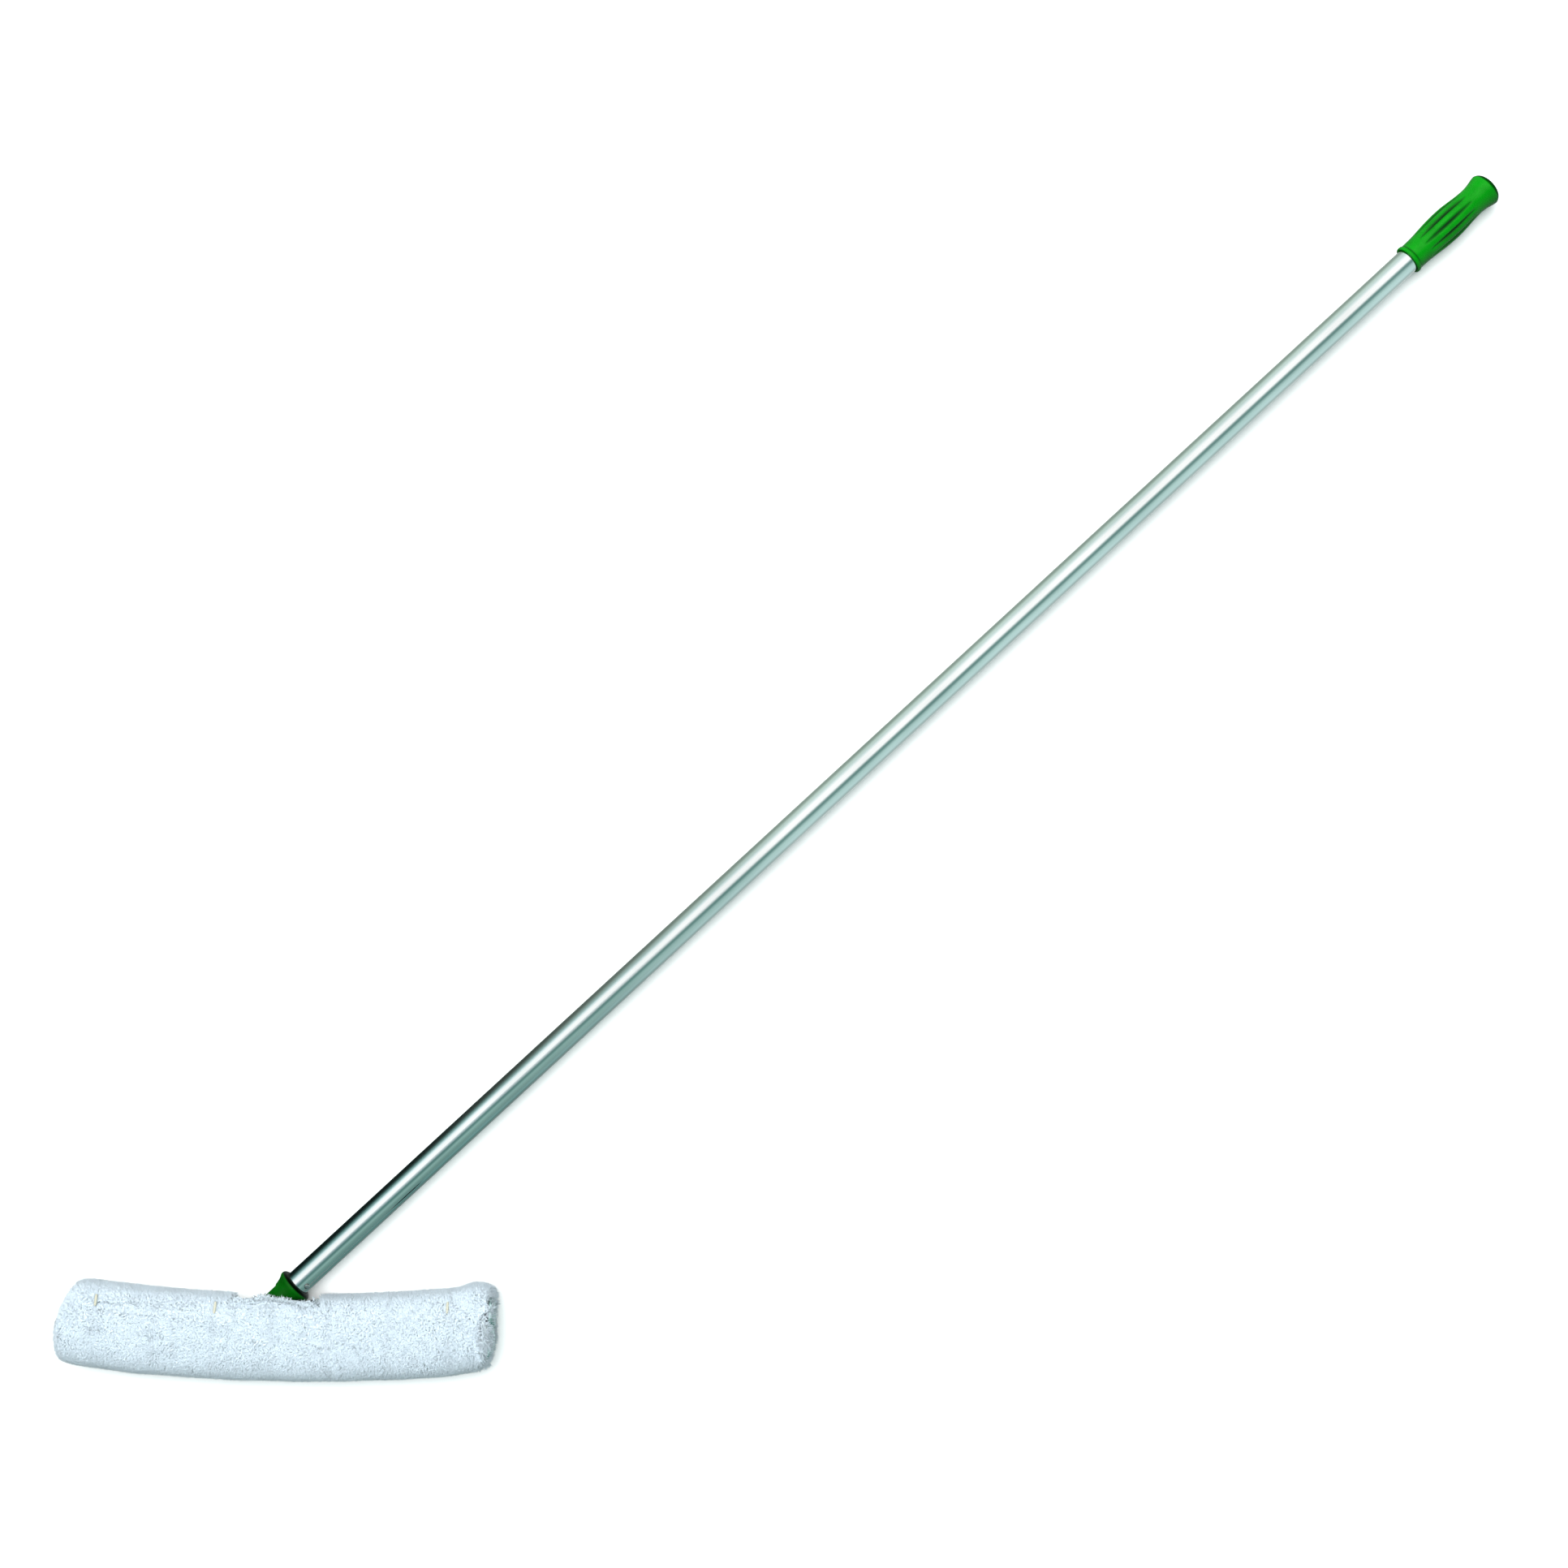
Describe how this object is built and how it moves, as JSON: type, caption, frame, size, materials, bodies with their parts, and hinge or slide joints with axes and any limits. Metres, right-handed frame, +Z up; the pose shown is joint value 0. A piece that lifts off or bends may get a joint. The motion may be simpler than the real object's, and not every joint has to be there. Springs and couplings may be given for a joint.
{
  "type": "flat mop",
  "caption": "Swivel-head mop with a thick plush sleeve on a flat frame bar, a straight aluminium pole and a fluted plastic grip, lying flat.",
  "frame": {"origin": "on the floor under the middle of the sleeve, on its flat underside", "axes": "+X along the head, +Y across the head towards the pole side, +Z up from the floor; the pole lies 44 degrees from +X in the XY plane"},
  "size_m": [1.2294, 1.0729, 0.04],
  "materials": {
    "sleeve": "matte",
    "end_flap": "matte",
    "loop_tape": "matte",
    "hook_tape": "matte",
    "tack_thread": "matte",
    "frame_bar": "satin",
    "pole_tube": "polished",
    "end_plug": "matte",
    "hub_bracket": "satin",
    "socket_fork": "satin",
    "grip": "gloss",
    "nylon_washer": "satin",
    "zinc_steel": "satin"
  },
  "bodies": {
    "head": {"sleeve": "sleeve", "end_flap": "end_flap", "loop_tape": "loop_tape", "hook_tape": "hook_tape", "tack_left": "tack_thread", "tack_mid": "tack_thread", "tack_right": "tack_thread", "frame_bar": "frame_bar", "end_plug_left": "end_plug", "end_plug_right": "end_plug", "hub_bracket": "hub_bracket", "hub_bolt_left": "zinc_steel", "hub_bolt_right": "zinc_steel", "hub_nut_left": "zinc_steel", "hub_nut_right": "zinc_steel"},
    "pole": {"pole_tube": "pole_tube", "tube_rivet": "zinc_steel", "socket_fork": "socket_fork", "friction_washer_top": "nylon_washer", "friction_washer_bottom": "nylon_washer", "pivot_washer_top": "zinc_steel", "pivot_washer_bottom": "zinc_steel", "pivot_bolt": "zinc_steel", "pivot_nut": "zinc_steel", "grip": "grip"}
  },
  "joints": [
    {"name": "head_swivel", "type": "hinge", "parent": "head", "child": "pole", "pos_m": [0, 0.03, 0.016], "axis": [0, 0, 1], "range_deg": [-4, 96]}
  ]
}
